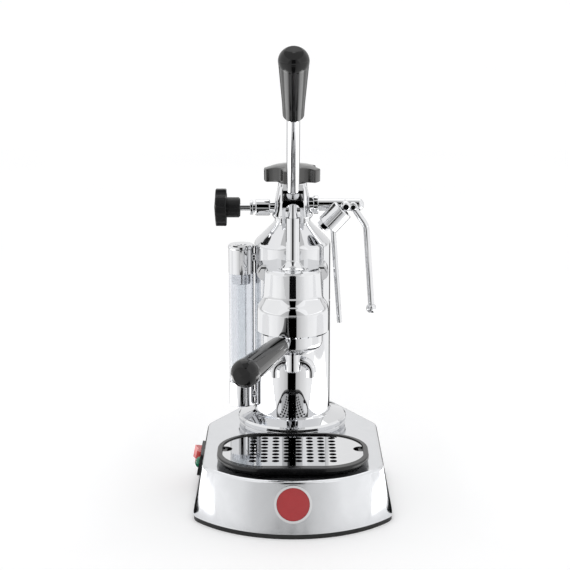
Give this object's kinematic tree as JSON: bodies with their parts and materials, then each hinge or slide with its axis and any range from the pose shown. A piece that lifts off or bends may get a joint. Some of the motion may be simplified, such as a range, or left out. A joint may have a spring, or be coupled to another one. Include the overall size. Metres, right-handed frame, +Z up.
{
  "type": "lever espresso machine",
  "caption": "Lever espresso machine: upright chromed boiler on a flared base with drip tray, hand-lever group and locking filter holder, sight gauge, steam wand and frothing cylinder.",
  "frame": {"origin": "middle of the base in plan, on the surface it stands on", "axes": "+Z up, front of the machine (drip tray, lever) towards -Y, steam knob and switch side towards -X"},
  "size_m": [0.1962, 0.3233, 0.4521],
  "materials": {
    "chrome": "polished",
    "stainless": "bright",
    "galvanised": "dull",
    "brass": "machined",
    "black_gloss": "polished thermoset",
    "black_matte": "satin",
    "rubber": "matt",
    "clear_glass": "clear",
    "clear_plastic": "clear, polished",
    "red_enamel": "gloss enamel",
    "red_plastic": "gloss",
    "green_lens": "faceted lens"
  },
  "bodies": {
    "root": {"base_shell": "chrome", "base_trim": "rubber", "base_plate": "galvanised", "base_feet": "rubber", "badge": "red_enamel", "badge_ring": "chrome", "switch_bezel": "black_matte", "pilot_lamp": "green_lens", "power_inlet": "black_matte", "boiler_collar": "chrome", "boiler": "chrome", "boiler_ring_nut": "brass", "element_flange": "brass", "heating_element": "stainless", "thermostat": "black_matte", "boiler_head": "chrome", "safety_valve": "brass", "steam_valve_body": "chrome", "packing_nut": "chrome", "steam_manifold": "chrome", "manifold_nut": "chrome", "swivel_spigots": "chrome", "gauge_top": "chrome", "gauge_bottom": "chrome", "gauge_glass": "clear_glass", "gauge_shield": "clear_plastic", "group_body": "chrome", "group_saddle": "chrome", "group_bolts": "stainless", "cylinder_sleeve": "stainless", "rod_packing": "rubber", "shower_screen": "stainless", "portafilter_seal": "rubber"},
    "rocker": {"power_rocker": "red_plastic"},
    "tray": {"drip_tray": "black_matte"},
    "grille": {"drip_grille": "stainless"},
    "cap_seat": {"cap_gasket": "rubber"},
    "cap": {"cap_knob": "black_gloss", "cap_plug": "brass"},
    "valve_knob": {"steam_knob": "black_matte", "steam_spindle": "stainless", "valve_disc": "brass"},
    "wand": {"steam_wand": "chrome", "steam_tip": "chrome"},
    "frother": {"frother_body": "chrome", "frother_nut": "chrome", "frother_tube": "chrome"},
    "piston": {"piston": "brass", "piston_seals": "rubber", "piston_rod": "stainless", "cross_pin": "stainless"},
    "lever": {"lever_fork": "chrome", "lever_rod": "chrome", "lever_handle": "black_gloss", "fulcrum_pin": "stainless"},
    "portafilter": {"portafilter_body": "chrome", "portafilter_handle": "black_gloss", "filter_basket": "stainless", "spout": "chrome"}
  },
  "joints": [
    {"name": "lever_pull", "type": "hinge", "parent": "root", "child": "lever", "pos_m": [0, -0.01547, 0.2747], "axis": [1, 0, 0], "range_deg": [0, 70]},
    {"name": "piston_slide", "type": "slide", "parent": "root", "child": "piston", "axis": [0, 0, -1], "range_m": [0, 0.0262]},
    {"name": "portafilter_turn", "type": "hinge", "parent": "root", "child": "portafilter", "pos_m": [0, -0.034, 0.165], "axis": [0, 0, 1], "range_deg": [-50, 8]},
    {"name": "steam_turn", "type": "hinge", "parent": "root", "child": "valve_knob", "pos_m": [-0.07, 0.044, 0.2776], "axis": [-1, 0, 0], "range_deg": [0, 450]},
    {"name": "wand_swing", "type": "hinge", "parent": "root", "child": "wand", "pos_m": [0.06, 0.0342, 0.2799], "axis": [0, 1, 0], "range_deg": [-60, 8]},
    {"name": "frother_swing", "type": "hinge", "parent": "root", "child": "frother", "pos_m": [0.0522, 0.019, 0.2832], "axis": [0, 1, 0], "range_deg": [-40, 4]},
    {"name": "cap_lift", "type": "slide", "parent": "root", "child": "cap_seat", "axis": [0, 0, 1], "range_m": [0, 0.045]},
    {"name": "cap_turn", "type": "hinge", "parent": "cap_seat", "child": "cap", "pos_m": [0, 0.044, 0.31], "axis": [0, 0, 1], "range_deg": [0, 1080]},
    {"name": "tray_lift", "type": "slide", "parent": "root", "child": "tray", "axis": [0, 0, 1], "range_m": [0, 0.03]},
    {"name": "grille_lift", "type": "slide", "parent": "tray", "child": "grille", "axis": [0, 0, 1], "range_m": [0, 0.025]},
    {"name": "power_press", "type": "hinge", "parent": "root", "child": "rocker", "pos_m": [-0.09286, 0.009, 0.03049], "axis": [-0.1942, 0, -0.981], "range_deg": [0, 11.5]}
  ],
  "couplings": [
    {"joint": "piston_slide", "follows": "lever_pull", "m_per_rad": 0.02133}
  ]
}
